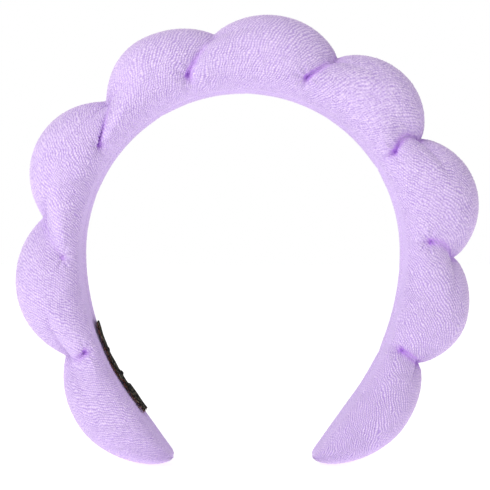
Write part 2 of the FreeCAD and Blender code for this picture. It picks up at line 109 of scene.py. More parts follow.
def place(u, lift, y):
    """Points in the frame, as (..., 3), for places along the band."""
    distance = np.abs(u)
    on_side = np.clip(distance - CROWN_LENGTH, 0, SIDE_LENGTH) / (SIDE_RADIUS + MID_LIFT)
    angle = np.minimum(distance / (CROWN_RADIUS + MID_LIFT), math.pi / 2) + on_side
    run = np.maximum(distance - TIP_START, 0)
    past_crown = distance > CROWN_LENGTH
    radius = np.where(past_crown, SIDE_RADIUS, CROWN_RADIUS) + lift
    shift = np.where(past_crown, SHIFT, 0.0)
    x = np.sign(u) * (radius * np.sin(angle) - shift + run * np.cos(angle))
    z = radius * np.cos(angle) - run * np.sin(angle)
    return np.stack(np.broadcast_arrays(x, y, z), axis=-1)


def along(points):
    """(u, lift) of points in the frame."""
    x, z = points[:, 0], points[:, 2]
    across = np.abs(x)
    below = z < 0
    reach = across + np.where(below, SHIFT, 0.0)
    angle = np.arctan2(reach, z)
    radius = np.where(below, SIDE_RADIUS, CROWN_RADIUS)
    lift = np.hypot(reach, z) - radius
    past_crown = CROWN_LENGTH + (angle - math.pi / 2) * (SIDE_RADIUS + MID_LIFT)
    u = np.where(below, past_crown, angle * (CROWN_RADIUS + MID_LIFT))
    sine, cosine = math.sin(TIP_ANGLE), math.cos(TIP_ANGLE)
    from_base_x = across - (SIDE_RADIUS * sine - SHIFT)
    from_base_z = z - SIDE_RADIUS * cosine
    on_tip = below & (angle > TIP_ANGLE)
    u = np.where(on_tip, TIP_START + from_base_x * cosine - from_base_z * sine, u)
    lift = np.where(on_tip, from_base_x * sine + from_base_z * cosine, lift)
    return np.where(x < 0, -u, u), lift


def node_points(node):
    """A CAD node's corners in millimetres."""
    mesh = frame["nodes"][node].data
    points = np.empty(len(mesh.vertices) * 3, np.float32)
    mesh.vertices.foreach_get("co", points)
    return points.reshape(-1, 3).astype(float) / MM


def highest(node):
    """The lift of a CAD node's outermost corner."""
    return along(node_points(node))[1].max()


def hinge(joint):
    """A joint's place in millimetres, and its entry in the frame."""
    found = next(j for j in frame["joints"] if j["name"] == joint)
    return np.array(found["pos_m"]) / MM, found


# Puffs clockwise from the left tip. A notch has the name of its puff on the side of the tip.
PUFFS = [
    "left_tip", "left_lower", "left_side", "left_upper", "crown",
    "right_upper", "right_side", "right_lower", "right_tip",
]
NOTCHES = [puff for puff in PUFFS if puff != "crown"]
# How far a CAD tuft loop stands above its notch, how far the cloth simulation swells the puffs,
# how much deeper each notch is than in the CAD model, and how much higher each puff.
LOOP_CREST = 1.5 * 0.8
SWELL = 0.4
NOTCH_DEEPER = np.array([1.3, 2.0, 2.6, 1.3, 0.5, 0.5, 0.3, -0.3])
PEAK_RISE = np.array([1.0, 0.0, -0.5, -0.1, -0.1, 0.4, 0.1, 0.6, 0.3])
PEAK = np.array([highest(f"cover_{p}") for p in PUFFS]) - SWELL + PEAK_RISE
HALF_DEPTH = np.array([np.abs(node_points(f"cover_{p}")[:, 1]).max() for p in PUFFS])
NOTCH_LIFT = np.array([highest(f"tuft_loop_{n}") for n in NOTCHES]) - LOOP_CREST - NOTCH_DEEPER
NOTCH_U = np.array([along(hinge(f"{n}_flex")[0][None])[0][0] for n in NOTCHES])
PUFF_U = np.concatenate([[-TIP_START], (NOTCH_U[1:] + NOTCH_U[:-1]) / 2, [TIP_START]])

# --- the cloth's shape

# The tip: its end's lift, the run over which its end closes, how slowly its top falls at first
# and how steeply at last, and its end's share of the depth.
NOSE_LIFT = 2.0
NOSE_RUN = 2.6
TIP_START_POWER = 1.8
TIP_END_POWER = 0.66
TIP_END_DEPTH = 0.35
# The section: the share of its height where it is widest, how round it is above and below
# that, and its usual half sizes.
WIDEST = 0.47
OUTER_POWER = 2 / 2.15
INNER_POWER = 2 / 3.1
TYPICAL_HALF_DEPTH = 19.0
TYPICAL_HALF_LIFT = 15.0
# A crease: the arc of a puff's side, the pull and its reach at the tuft, and how these grow
# towards the notch.
PUFF_ARC = math.radians(45.0)
TUFT_PINCH = 2.6
TUFT_REACH = 6.5
REACH_POWER = 0.6
PINCH_POWER = 1.2
SHARP_POWER = 1.5
PINCH_FADE = 5
# The groove along a crease, the width of the painted shade along it, and the rounding of the valley
# where it isn't sharp.
GROOVE_DEPTH = 1.3
GROOVE_WIDTH = 1.2
GROOVE_POWER = 1.5
GROOVE_FADE = 9
FOLD_SHADE_WIDTH = 1.3
VALLEY_ROUNDING = 1.6
# A tuft: (depth, width) of the dimples that make it up, its puckers and its spot of painted shade.
DIMPLES = ((0.8, 1.0), (0.9, 4.5))
PUCKERS = 7
PUCKER_HEIGHT = 0.3
PUCKER_RING = 3.6
PUCKER_WIDTH = 2.0
SPOT_SHADE = 0.5
SPOT_WIDTH = 1.1
# How each crease runs over the front: how far its inner end lies clockwise of the notch, how
# far its middle bows that way, the lift of the tuft where it ends, and how sharp it is at the
# tuft and at the notch. On the back it runs the other way: the thread winds round the band.
CREASES = {
    "left_tip": (-1.2, -1.8, 4.2, 0.9, 0.05),
    "left_lower": (-15.0, 0.0, 5.0, 0.1, 0.0),
    "left_side": (-14.5, 4.0, 3.9, 1.0, 0.0),
    "left_upper": (-12.8, 0.0, 6.0, 1.0, 0.05),
    "right_upper": (-7.7, 0.6, 6.0, 1.0, 0.35),
    "right_side": (-1.2, -3.2, 4.6, 1.0, 0.45),
    "right_lower": (-6.0, -1.5, 7.2, 0.7, 0.5),
    "right_tip": (-2.4, 0.0, 3.7, 0.9, 0.7),
}


def section(count):
    """A unit section sampled evenly along its length: crosswise, upwards and length so far."""
    turn = np.linspace(-math.pi, math.pi, 4001)
    up, across = np.cos(turn), np.sin(turn)
    power = np.where(up > 0, OUTER_POWER, INNER_POWER)
    up = np.sign(up) * np.abs(up) ** power
    across = np.sign(across) * np.abs(across) ** power
    steps = np.hypot(np.diff(across) * TYPICAL_HALF_DEPTH, np.diff(up) * TYPICAL_HALF_LIFT)
    length = np.concatenate([[0], np.cumsum(steps)])
    even = np.linspace(0, length[-1], count + 1)[:-1]
    return np.interp(even, length, across), np.interp(even, length, up), even


def joined(spot, keys, values):
    """The value at a spot, where values at the keys are joined by half waves."""
    index = np.clip(np.searchsorted(keys, spot) - 1, 0, len(keys) - 2)
    share = np.clip((spot - keys[index]) / (keys[index + 1] - keys[index]), 0, 1)
    share = share * share * (3 - 2 * share)
    return values[index] + (values[index + 1] - values[index]) * share


def envelope(u):
    """The uncreased tube: lift of its bottom and top, and half its depth."""
    run = np.maximum(np.abs(u) - TIP_START, 0)
    fall = (1 - np.clip(run / TIP_LENGTH, 0, 1) ** TIP_START_POWER) ** TIP_END_POWER
    nose = np.sqrt(1 - np.clip((run - TIP_LENGTH + NOSE_RUN) / NOSE_RUN, 0, 1) ** 2)
    top = NOSE_LIFT + (joined(u, PUFF_U, PEAK) - NOSE_LIFT) * fall
    bottom = NOSE_LIFT * (1 - nose)
    narrowing = TIP_END_DEPTH + (1 - TIP_END_DEPTH) * fall
    return bottom, top, joined(u, PUFF_U, HALF_DEPTH) * narrowing * nose


def tube(u, across, up):
    """(y, lift) and the section's centre lift on the uncreased tube."""
    bottom, top, half_depth = envelope(u)
    centre = bottom + (top - bottom) * WIDEST
    lift = centre + np.where(up > 0, (top - centre) * up, (centre - bottom) * up)
    return half_depth * across, lift, centre


def crease_line(index, across, up):
    """Where crease number index crosses each place of the section: u, and how far it has run
    from its notch (0) to its tuft (1) and beyond."""
    shift, bow, tuft_lift, _, _ = CREASES[NOTCHES[index]]
    _, lift, _ = tube(NOTCH_U[index], across, up)
    share = (NOTCH_LIFT[index] - lift) / (NOTCH_LIFT[index] - tuft_lift)
    inside = np.clip(share, 0, 1)
    winding = -np.sign(across)
    return NOTCH_U[index] + winding * (shift * inside + bow * 4 * inside * (1 - inside)), share


def pinch_profile(share):
    """1 at the crease and 0 a reach away, as two round puffs that meet."""
    inner = np.clip(1 - share, 0, 1) * math.sin(PUFF_ARC)
    return (1 - np.sqrt(1 - inner ** 2)) / (1 - math.cos(PUFF_ARC))


def pinch(u, across, up, length):
    """How far the thread pulls the cloth in, and how deep in a fold each place lies, which is painted
    as shade into the cloth's colour.
    """
    lines = [crease_line(i, across, up) for i in range(len(NOTCHES))]
    edges = [-TIP_START] + [line[0] for line in lines] + [TIP_START]
    total, fold = 0.0, 0.0
    for index, (line_u, run) in enumerate(lines):
        offset = u - line_u
        before = (line_u - edges[index]) / (1 if index == 0 else 2)
        after = (edges[index + 2] - line_u) / (1 if index == len(lines) - 1 else 2)
        left = 1 - np.clip(run, 0, 1)
        half_puff = np.where(offset < 0, before, after)
        reach = TUFT_REACH + (half_puff - TUFT_REACH) * left ** REACH_POWER
        depth = PEAK_AT_NOTCH[index] - NOTCH_LIFT[index]
        strength = TUFT_PINCH + (depth - TUFT_PINCH) * left ** PINCH_POWER
        at_tuft, at_notch = CREASES[NOTCHES[index]][3:]
        sharp = at_notch + (at_tuft - at_notch) * (1 - left) ** SHARP_POWER
        rounding = VALLEY_ROUNDING * np.clip(1 - sharp, 0, 1) * np.clip(4 * (1 - left), 0.2, 1)
        groove = sharp * GROOVE_DEPTH * np.exp(-np.abs(offset / GROOVE_WIDTH) ** GROOVE_POWER)
        valley = pinch_profile(np.sqrt(offset ** 2 + rounding ** 2) / reach)
        past_tuft = np.maximum(run - 1, 0)
        pinch_end = np.exp(-(past_tuft * PINCH_FADE) ** 2)
        groove_end = np.exp(-(past_tuft * GROOVE_FADE) ** 2)
        total = total + pinch_end * strength * valley + groove_end * groove
        # Painted shade along the sharp part of the crease.
        fold = fold + groove_end * sharp * np.exp(-(offset / FOLD_SHADE_WIDTH) ** 2)
    for index, tufts in enumerate(TUFTS):
        for tuft in tufts:
            add, dark = tuft_dimple(index, tuft, u, length)
            total = total + add
            fold = fold + dark
    return total, fold


def tuft_place(index, way):
    """(u, length round the section) of a tuft on the front (-1) or the back (1)."""
    across, up, length = FINE_SECTION
    chosen = (np.sign(across) == way) & (up > -0.999)
    line_u, share = crease_line(index, across[chosen], up[chosen])
    nearest = np.argmin(np.abs(share - 1))
    return line_u[nearest], length[chosen][nearest]


def tuft_dimple(index, tuft, u, length):
    """A dimple where the thread goes in, with puckers that spread from it, and the painted shade in it.
    """
    du, dw = u - tuft[0], length - tuft[1]
    far = np.hypot(du, dw)
    ring = np.exp(-((far - PUCKER_RING) / PUCKER_WIDTH) ** 2)
    pucker = np.cos(PUCKERS * np.arctan2(dw, du) + index) * ring
    deep = sum(depth * np.exp(-(far / width) ** 2) for depth, width in DIMPLES)
    return deep + PUCKER_HEIGHT * pucker, SPOT_SHADE * np.exp(-(far / SPOT_WIDTH) ** 2)


FINE_SECTION = section(2000)
PEAK_AT_NOTCH = envelope(NOTCH_U)[1]
TUFTS = [[tuft_place(i, way) for way in (-1, 1)] for i in range(len(NOTCHES))]


def cloth(u, across, up, length):
    """Points of the cloth before its pile, and the fold depth there."""
    y, lift, centre = tube(u, across, up)
    pulled, fold = pinch(u, across, up, length)
    reach = np.maximum(np.hypot(y, lift - centre), 1e-6)
    keep = np.clip(1 - pulled / reach, 0.15, 1)
    return place(u, centre + (lift - centre) * keep, y * keep), np.clip(fold, 0, 1)


def normals(points):
    """Outward unit normals of a grid that is closed round the section."""
    down_band = np.gradient(points, axis=0)
    round_section = np.roll(points, -1, axis=1) - np.roll(points, 1, axis=1)
    normal = np.cross(down_band, round_section)
    return normal / np.maximum(np.linalg.norm(normal, axis=-1, keepdims=True), 1e-9)


def band_stations(spacing):
    """u of the grid's rings, from the left nose to the right, closer together at the noses."""
    straight = np.linspace(-TIP_START, TIP_START, round(2 * TIP_START / spacing) + 1)
    turn = np.linspace(0, math.pi / 2 - 0.02, round(TIP_LENGTH * 1.3 / spacing))[1:]
    nose = TIP_START + TIP_LENGTH * np.sin(turn)
    return np.concatenate([-nose[::-1], straight, nose])


# --- terry pile

ROW_PITCH = 1.0
LOOP_PITCH = 1.05
# Angle of the rows of loops on each puff, from straight across the band, in degrees.
ROW_SKEWS = [34, 34, 27, 30, 22, 32, 50, 45, 42]
# How much of the pile on each puff is loose pebbles in place of rows.
PEBBLED = np.array([0.3, 0.32, 0.35, 0.3, 0.3, 0.45, 0.35, 0.15, 0.1])
# How the rows wander: (distance, size of the waves, seed).
DRIFTS = ((1.2, 9.0, 1), (0.5, 2.6, 2), (0.3, 1.3, 5))
# Each row's loops are shifted against the last row's by this share of a loop.
STAGGER = 0.618
PILE_HEIGHT = 0.55
PUFF_REACH = 50.0
ROW_CHANGE = 2
FAR_AWAY = 1000.0
FRONT_LENGTH = FINE_SECTION[2].max() / 4
NOISE_START = 300.0


def noise(u, length, cell, seed):
    """Smooth random values from -1 to 1 on the cloth, the same every run."""
    a, b = np.broadcast_arrays((u + NOISE_START) / cell, length / cell)
    lattice = np.random.default_rng(seed).uniform(-1, 1, (int(a.max()) + 2, int(b.max()) + 2))
    i, j = a.astype(int), b.astype(int)
    fa, fb = a - i, b - j
    fa, fb = fa * fa * (3 - 2 * fa), fb * fb * (3 - 2 * fb)
    near = lattice[i, j] * (1 - fb) + lattice[i, j + 1] * fb
    far = lattice[i + 1, j] * (1 - fb) + lattice[i + 1, j + 1] * fb
    return near * (1 - fa) + far * fa


def rows_of_loops(u, length, skew, drift):
    """Height from 0 to 1 of rows of loops that wind round the band."""
    cosine, sine = math.cos(math.radians(skew)), math.sin(math.radians(skew))
    phase = (u * cosine - (length - FRONT_LENGTH) * sine + drift) / ROW_PITCH
    along_row = (u * sine + length * cosine) / LOOP_PITCH
    row = np.floor(phase + 0.5)
    ridge = 0.5 + 0.5 * np.cos(2 * math.pi * phase)
    stagger = np.modf(row * STAGGER + 500)[0]
    loops = 0.5 + 0.5 * np.cos(2 * math.pi * (along_row + stagger + 0.5 * drift))
    return ridge * (0.3 + 0.7 * loops)


def pile(stations, across, up, length):
    """Height of the looped pile from 0 to 1. Each puff has its own slant of rows."""
    u, w = stations[:, None], length[None]
    drift = sum(amount * noise(u, w, cell, seed) for amount, cell, seed in DRIFTS)
    edges = [crease_line(index, across, up)[0] for index in range(len(NOTCHES))]
    edges = [-FAR_AWAY, *edges, FAR_AWAY]
    rows = np.zeros(drift.shape)
    for index, skew in enumerate(ROW_SKEWS):
        near = np.abs(stations - PUFF_U[index]) < PUFF_REACH
        past_start, past_end = [
            0.5 + 0.5 * np.tanh((u[near] - edge) / ROW_CHANGE) for edge in edges[index:index + 2]
        ]
        rows[near] += rows_of_loops(u[near], w, skew, drift[near]) * (past_start - past_end)
    pebbles = np.clip(0.35 + 0.5 * noise(u, w, 0.5, 3), 0, 1)
    patches = 0.12 * noise(u, w, 22.0, 4)
    blend = np.clip(joined(u, PUFF_U, PEBBLED) + patches, 0.08, 0.7)
    return rows * (1 - blend) + pebbles * blend


# --- cloth simulation

SIM_SPACING = 2.3
SIM_ROUND = 54
SIM_FRAMES = 16
SIM_CAP = 0.9
HELD_FOLD = 0.45
HELD_BELOW = -0.8
HELD_PAST = 0.93


def new_mesh(name, points, faces_of_corners):
    """A mesh object from corner points in millimetres and faces of one size."""
    mesh = bpy.data.meshes.new(name)
    corners = np.asarray(faces_of_corners, np.int32)
    count, size = corners.shape
    mesh.vertices.add(len(points))
    mesh.vertices.foreach_set("co", (points * MM).astype(np.float32).ravel())
    mesh.loops.add(count * size)
    mesh.loops.foreach_set("vertex_index", corners.ravel())
    mesh.polygons.add(count)
    mesh.polygons.foreach_set("loop_start", np.arange(0, count * size, size, dtype=np.int32))
    mesh.polygons.foreach_set("use_smooth", np.ones(count, bool))
    mesh.update(calc_edges=True)
    piece = bpy.data.objects.new(name, mesh)
    bpy.context.scene.collection.objects.link(piece)
    return piece


def ring_faces(rings, count, first=0, inside_out=False):
    """Quads between rings of corners that are numbered one ring after another."""
    i = np.arange(rings - 1)[:, None] * count
    j = np.arange(count)[None, :]
    k = (j + 1) % count
    quads = np.stack([i + j, i + count + j, i + count + k, i + k], axis=-1).reshape(-1, 4)
    return (quads[:, ::-1] if inside_out else quads) + first


def cubic(values, positions, closed):
    """Values along the first axis read at fractional places, through smooth cubics."""
    base = np.floor(positions).astype(int)
    share = (positions - base).reshape((-1,) + (1,) * (values.ndim - 1))
    picked = []
    for step in (-1, 0, 1, 2):
        index = base + step
        index = index % len(values) if closed else np.clip(index, 0, len(values) - 1)
        picked.append(values[index])
    a, b, c, d = picked
    slope_b, slope_c = (c - a) / 2, (d - b) / 2
    square, cube = share ** 2, share ** 3
    return (
        b * (2 * cube - 3 * square + 1) + slope_b * (cube - 2 * square + share)
        + c * (3 * square - 2 * cube) + slope_c * (cube - square)
    )


def held_corners(stations, up, fold):
    """Numbers of the corners that stay: the inner face, the noses and the sharp creases."""
    nose = np.abs(stations) > TIP_START + TIP_LENGTH * HELD_PAST
    held = (up[None] < HELD_BELOW) | nose[:, None] | (fold > HELD_FOLD)
    return [int(i) for i in np.flatnonzero(held)]


def add_cloth(piece):
    """Cloth blown up by pressure, without gravity."""
    modifier = piece.modifiers.new("relax", "CLOTH")
    settings = modifier.settings
    settings.quality = 6
    settings.mass = 0.15
    settings.tension_stiffness = 12
    settings.compression_stiffness = 12
    settings.shear_stiffness = 4
    settings.bending_stiffness = 0.25
    settings.shrink_min = 0.0
    settings.use_pressure = True
    settings.uniform_pressure_force = 4.0
    settings.vertex_group_mass = "held"
    settings.effector_weights.gravity = 0
    modifier.point_cache.frame_start = 1
    modifier.point_cache.frame_end = SIM_FRAMES
    modifier.collision_settings.use_collision = False


def relaxed_offsets():
    """Blows the cloth up over its pinned creases and returns the stations and the offsets."""
    stations = band_stations(SIM_SPACING)
    across, up, length = section(SIM_ROUND)
    points, fold = cloth(stations[:, None], across[None], up[None], length[None])
    flat = points.reshape(-1, 3)
    piece = new_mesh("cloth_being_relaxed", flat, ring_faces(len(stations), SIM_ROUND))
    group = piece.vertex_groups.new(name="held")
    group.add(held_corners(stations, up, fold), 1.0, "REPLACE")
    add_cloth(piece)
    for number in range(1, SIM_FRAMES + 1):
        bpy.context.scene.frame_set(number)
    shown = piece.evaluated_get(bpy.context.evaluated_depsgraph_get())
    moved = np.empty(len(flat) * 3, np.float32)
    shown.data.vertices.foreach_get("co", moved)
    offsets = moved.reshape(points.shape).astype(float) / MM - points
    bpy.context.scene.frame_set(1)
    bpy.data.objects.remove(piece)
    far = np.linalg.norm(offsets, axis=-1, keepdims=True)
    return stations, offsets * np.tanh(far / SIM_CAP) * SIM_CAP / np.maximum(far, 1e-9)


def spread(offsets, sim_stations, stations, count):
    """The relaxed offsets on a finer grid."""
    places = np.interp(stations, sim_stations, np.arange(len(sim_stations)))
    finer = cubic(offsets, places, closed=False)
    round_places = np.arange(count) * (SIM_ROUND / count)
    return cubic(finer.swapaxes(0, 1), round_places, closed=True).swapaxes(0, 1)


# --- materials


def linear(red, green, blue):
    """A colour as seen on a screen, 0 to 255, as the renderer wants it."""
    values = [c / 255 for c in (red, green, blue)]
    return (*[v / 12.92 if v <= 0.04045 else ((v + 0.055) / 1.055) ** 2.4 for v in values], 1.0)


class Nodes:
    """A material's node tree with a Principled shader, and short ways to add to it."""

    def __init__(self, name, roughness):
        self.material = bpy.data.materials.new(name)
        self.material.use_nodes = True
        self.tree = self.material.node_tree
        self.shader = self.tree.nodes["Principled BSDF"]
        self.shade(Roughness=roughness)
        self.place = self.add("ShaderNodeTexCoord").outputs["Object"]

    def add(self, kind, settings=None, **inputs):
        node = self.tree.nodes.new(kind)
        for key, value in (settings or {}).items():
            setattr(node, key, value)
        for key, value in inputs.items():
            self.feed(node.inputs[key.replace("_", " ")], value)
        return node

    def feed(self, socket, value):
        if isinstance(value, bpy.types.NodeSocket):
            self.tree.links.new(value, socket)
        else:
            socket.default_value = value

    def noise(self, scale, detail=3.0, roughness=0.55):
        inputs = {"Scale": scale, "Detail": detail, "Roughness": roughness}
        return self.add("ShaderNodeTexNoise", Vector=self.place, **inputs).outputs["Fac"]

    def attribute(self, name):
        return self.add("ShaderNodeAttribute", {"attribute_name": name}).outputs["Fac"]

    def stretch(self, value, low, high, to_low=0.0, to_high=1.0):
        ends = {"From_Min": low, "From_Max": high, "To_Min": to_low, "To_Max": to_high}
        return self.add("ShaderNodeMapRange", Value=value, **ends).outputs["Result"]

    def mix(self, share, first, second):
        node = self.add("ShaderNodeMix", {"data_type": "RGBA"})
        self.feed(node.inputs["Factor"], share)
        self.feed(node.inputs[6], first)
        self.feed(node.inputs[7], second)
        return node.outputs[2]

    def bump(self, height, strength, distance_mm):
        node = self.add("ShaderNodeBump", Height=height, Strength=strength, Distance=distance_mm * MM)
        self.tree.links.new(node.outputs["Normal"], self.shader.inputs["Normal"])

    def shade(self, **inputs):
        for key, value in inputs.items():
            self.feed(self.shader.inputs[key.replace("_", " ")], value)


def terry_material():
    """Lilac looped pile, with painted light on its loop tops and painted purple shade between the rows
    and in the folds.
    """
    nodes = Nodes("lilac_terry", 0.95)
    # Painted light and shade from the pile height: lighter loop tops, darker purple valleys between the
    # rows.
    raised = nodes.stretch(nodes.attribute("pile"), 0.0, 0.85)
    rows = nodes.mix(raised, linear(150, 114, 194), linear(246, 228, 251))
    worn = nodes.stretch(nodes.attribute("worn"), 1.0, 0.5, 0.0, 0.5)
    rows = nodes.mix(worn, rows, linear(208, 184, 232))
    patches = nodes.stretch(nodes.noise(90.0, 4.0), 0.3, 0.7)
    mottled = nodes.mix(patches, rows, nodes.mix(0.3, rows, linear(218, 192, 240)))
    fibres = nodes.noise(3200.0, 2.0, 0.7)
    flecked = nodes.mix(nodes.stretch(fibres, 0.35, 0.7, 0.0, 0.3), mottled, linear(240, 228, 250))
    # Painted shade: a more saturated purple in the creases' folds and the tufts' dimples.
    fold_shaded = nodes.mix(nodes.attribute("fold"), flecked, linear(196, 146, 232))
    nodes.shade(Base_Color=fold_shaded, Specular_IOR_Level=0.15)
    nodes.shade(Sheen_Weight=0.25, Sheen_Roughness=0.6, Sheen_Tint=linear(236, 222, 255))
    nodes.bump(fibres, 0.35, 0.25)
    return nodes.material


def foam_material():
    """Cream open-cell foam."""
    nodes = Nodes("cream_foam", 0.9)
    cells = nodes.add("ShaderNodeTexVoronoi", Vector=nodes.place, Scale=900.0).outputs["Distance"]
    walls = nodes.stretch(cells, 0.0, 0.6)
    nodes.shade(Base_Color=nodes.mix(walls, linear(214, 204, 184), linear(246, 241, 229)))
    nodes.bump(cells, 0.5, 0.4)
    return nodes.material


def hoop_material():
    """Milky plastic strip with faint flow lines and scuffs."""
    nodes = Nodes("milky_plastic", 0.4)
    flow = nodes.noise(140.0, 5.0)
    nodes.shade(Base_Color=nodes.mix(flow, linear(222, 222, 216), linear(240, 240, 236)))
    nodes.shade(Roughness=nodes.stretch(nodes.noise(700.0), 0.3, 0.7, 0.32, 0.5))
    nodes.bump(flow, 0.15, 0.05)
    return nodes.material


def thread_material(name, dark, light):
    """Twisted sewing thread."""
    nodes = Nodes(name, 0.7)
    diagonal = {"bands_direction": "DIAGONAL"}
    wave = nodes.add("ShaderNodeTexWave", diagonal, Vector=nodes.place, Scale=900.0, Distortion=2.0)
    twist = wave.outputs["Fac"]
    nodes.shade(Base_Color=nodes.mix(twist, dark, light))
    nodes.bump(twist, 0.6, 0.08)
    return nodes.material


def label_material():
    """Brown-black satin weave with painted glints: light tan flecks in its colour stand for light
    caught on the float threads.
    """
    nodes = Nodes("black_weave", 0.75)
    weave = nodes.add("ShaderNodeMath", {"operation": "MULTIPLY"})
    for number, (way, scale) in enumerate((("Y", 700.0), ("Z", 520.0))):
        wave = nodes.add("ShaderNodeTexWave", {"bands_direction": way}, Vector=nodes.place, Scale=scale)
        nodes.feed(weave.inputs[number], wave.outputs["Fac"])
    base = nodes.mix(weave.outputs[0], linear(4, 3, 3), linear(26, 22, 17))
    # Painted highlight: light tan flecks for glints on the float threads.
    painted_glints = nodes.stretch(nodes.noise(1000.0, 2.0), 0.57, 0.66, 0.0, 0.9)
    nodes.shade(Base_Color=nodes.mix(painted_glints, base, linear(150, 144, 122)), Specular_IOR_Level=0.08)
    nodes.shade(Roughness=nodes.stretch(weave.outputs[0], 0.0, 1.0, 0.8, 0.6))
    nodes.bump(weave.outputs[0], 0.8, 0.12)
    return nodes.material


def finish_piece(piece, material):
    """Gives a piece its material."""
    piece.data.materials.clear()
    piece.data.materials.append(material)


# --- notch hinges

SMALL_STEP = 0.01


def bend(piece, notch):
    """Works out the band's direction at a notch's hinge and bakes the piece's place into its mesh."""
    centre, joint = hinge(f"{notch}_flex")
    u, lift = along(centre[None])
    ahead = place(u + SMALL_STEP, lift, np.zeros(1))[0]
    behind = place(u - SMALL_STEP, lift, np.zeros(1))[0]
    direction = (ahead - behind) / np.linalg.norm(ahead - behind)
    if notch.startswith("left"):
        direction = -direction
    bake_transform(piece)


# --- shells and tubes

BAKE_MAP = "OFBake"
OUTSIDE_SHARE = 0.88
MAP_GAP = 0.01
MAP_END = 0.98
PLY_DEPTH = 0.13
PLY_TURN = 0.55
THREAD_ENDS = (0.3, 0.85)


def zipper(first, count, inside_out=False):
    """Faces that close a ring of corners by joining its two halves."""
    j = np.arange(count // 2 - 1)
    quads = np.stack([j, j + 1, count - 2 - j, count - 1 - j], axis=-1) + first
    return quads[:, ::-1] if inside_out else quads


def shell_faces(outer_rings, inner_rings, count, closed_low, closed_high):
    """Faces of a tube with a wall: outside, inside, and either a rim or two caps at each end."""
    inner_first = outer_rings * count
    outer_last = inner_first - count
    inner_last = inner_first + (inner_rings - 1) * count
    faces = [
        ring_faces(outer_rings, count),
        ring_faces(inner_rings, count, inner_first, inside_out=True),
    ]
    j = np.arange(count)
    k = (j + 1) % count
    if closed_low:
        faces += [zipper(0, count), zipper(inner_first, count, inside_out=True)]
    else:
        faces.append(np.stack([j, k, inner_first + k, inner_first + j], axis=-1))
    if closed_high:
        faces += [zipper(outer_last, count, inside_out=True), zipper(inner_last, count)]
    else:
        corners = [outer_last + k, outer_last + j, inner_last + j, inner_last + k]
        faces.append(np.stack(corners, axis=-1))
    return np.concatenate(faces)


def add_values(piece, name, values):
    """A number on each corner, for the material."""
    attribute = piece.data.attributes.new(name, "FLOAT", "POINT")
    attribute.data.foreach_set("value", values.astype(np.float32).ravel())


def add_map(piece, rings, count):
    """A texture map from each corner's place in the rings, the outside below the inside."""
    mesh = piece.data
    corner = np.empty(len(mesh.loops), np.int32)
    mesh.loops.foreach_get("vertex_index", corner)
    ring, step = corner // count, corner % count
    outer_high = ring / rings[0] * OUTSIDE_SHARE
    inner_run = (ring - rings[0]) / rings[1]
    inner_high = OUTSIDE_SHARE + MAP_GAP + inner_run * (MAP_END - OUTSIDE_SHARE)
    high = np.where(ring < rings[0], outer_high, inner_high)
    across = (step / count).reshape(-1, 4)
    wraps = np.ptp(across, axis=1) > 0.5
    across = np.where(wraps[:, None] & (across < 0.5), across + 1, across) * MAP_END
    spots = np.stack([across.ravel(), high], axis=-1)
    layer = mesh.uv_layers.new(name=BAKE_MAP)
    layer.data.foreach_set("uv", spots.astype(np.float32).ravel())


def make_shell(layer, ending, outer, inner, outer_normals=None):
    """A walled tube from grids of outside and inside points. A nose is closed at its end."""
    count = outer.shape[1]
    closed = ending == "left_nose", ending == "right_nose"
    faces = shell_faces(len(outer), len(inner), count, *closed)
    points = np.concatenate([outer.reshape(-1, 3), inner.reshape(-1, 3)])
    piece = new_mesh(f"{layer}_{ending}", points, faces)
    add_map(piece, (len(outer), len(inner)), count)
    if outer_normals is not None:
        inner_normals = -normals(inner)
        given = np.concatenate([outer_normals.reshape(-1, 3), inner_normals.reshape(-1, 3)])
        piece.data.normals_split_custom_set_from_vertices(given.astype(np.float32))
    return piece


def unit(vector):
    """Vectors made 1 long."""
    return vector / np.maximum(np.linalg.norm(vector, axis=-1, keepdims=True), 1e-9)


def thread_rings(path, radius, reference, closed, sides):
    """Rings of a two-ply thread round a path."""
    steps = np.roll(path, -1, axis=0) - np.roll(path, 1, axis=0)
    if not closed:
        steps[0], steps[-1] = path[1] - path[0], path[-1] - path[-2]
    tangent = unit(steps)
    side = unit(np.cross(tangent, reference))
    other = np.cross(tangent, side)
    run = np.concatenate([[0], np.cumsum(np.linalg.norm(np.diff(path, axis=0), axis=1))])
    turn = np.linspace(0, 2 * math.pi, sides, endpoint=False)[None]
    ply = 1 + PLY_DEPTH * np.cos(2 * (turn - run[:, None] * PLY_TURN / radius))
    size = np.full(len(path), radius)
    if not closed:
        for step, thinned in enumerate(THREAD_ENDS):
            size[[step, -1 - step]] = radius * thinned
    wide = (size[:, None] * ply)[..., None]
    sideways = np.cos(turn)[..., None] * side[:, None]
    crosswise = np.sin(turn)[..., None] * other[:, None]
    return path[:, None] + wide * (sideways + crosswise)


def make_threads(name, paths, radius, references, closed=False, sides=10):
    """One piece made of several threads."""
    points, faces, first = [], [], 0
    for path, reference in zip(paths, references):
        rings = thread_rings(path, radius, reference, closed, sides)
        count = len(rings)
        faces.append(ring_faces(count, sides, first))
        last = first + (count - 1) * sides
        j = np.arange(sides)
        k = (j + 1) % sides
        if closed:
            faces.append(np.stack([last + j, first + j, first + k, last + k], axis=-1))
        else:
            faces += [zipper(first, sides), zipper(last, sides, inside_out=True)]
        points.append(rings.reshape(-1, 3))
        first += count * sides
    return new_mesh(name, np.concatenate(points), np.concatenate(faces))


# --- the cover and its filling

